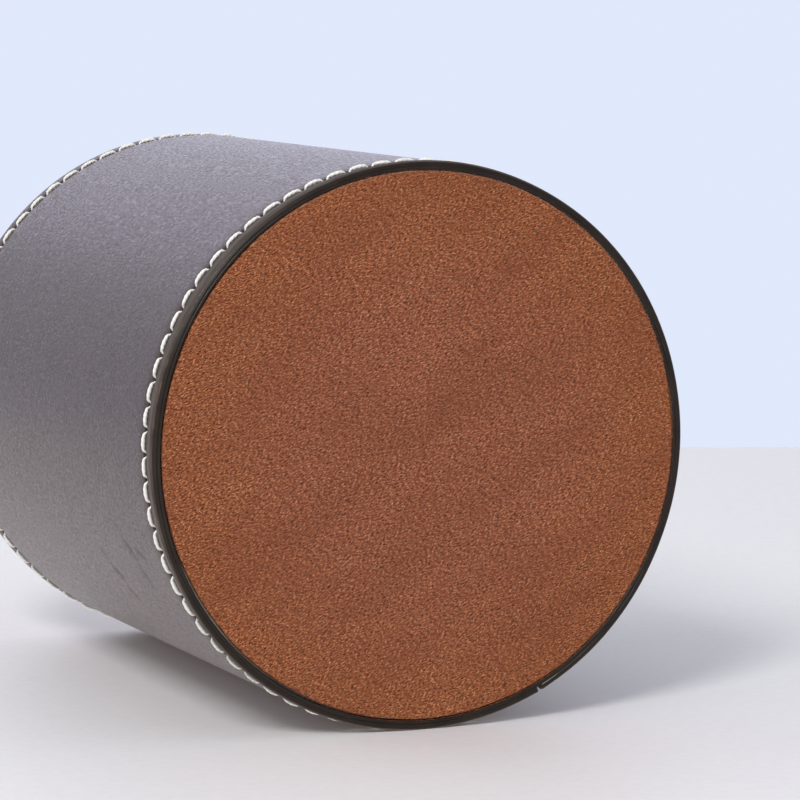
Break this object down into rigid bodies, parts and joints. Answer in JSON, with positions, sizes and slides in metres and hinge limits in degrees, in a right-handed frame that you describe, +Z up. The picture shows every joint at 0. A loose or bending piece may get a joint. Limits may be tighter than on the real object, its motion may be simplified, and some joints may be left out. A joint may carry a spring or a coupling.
{
  "type": "pen holder",
  "caption": "Round open pen holder: imitation-leather sleeve with a butt seam, sewn at both rims to a suede lining over a board tube, standing on a suede base pad.",
  "frame": {"origin": "centre of the base pad's underside, on the surface that the holder stands on", "axes": "+Z up along the holder's axis towards its mouth, +Y towards the sleeve's butt seam, front -Y"},
  "size_m": [0.082, 0.082, 0.098],
  "materials": {
    "leather": "satin, fine grain",
    "suede": "napped, matt",
    "board": "raw grey board",
    "thread": "waxed, twisted"
  },
  "bodies": {
    "root": {"outer_leather": "leather", "stiffener_tube": "board", "lining": "suede", "base_pad": "suede", "base_board": "board", "floor_pad": "suede", "top_needle_thread": "thread", "top_bobbin_thread": "thread", "bottom_needle_thread": "thread", "bottom_bobbin_thread": "thread"}
  },
  "joints": []
}
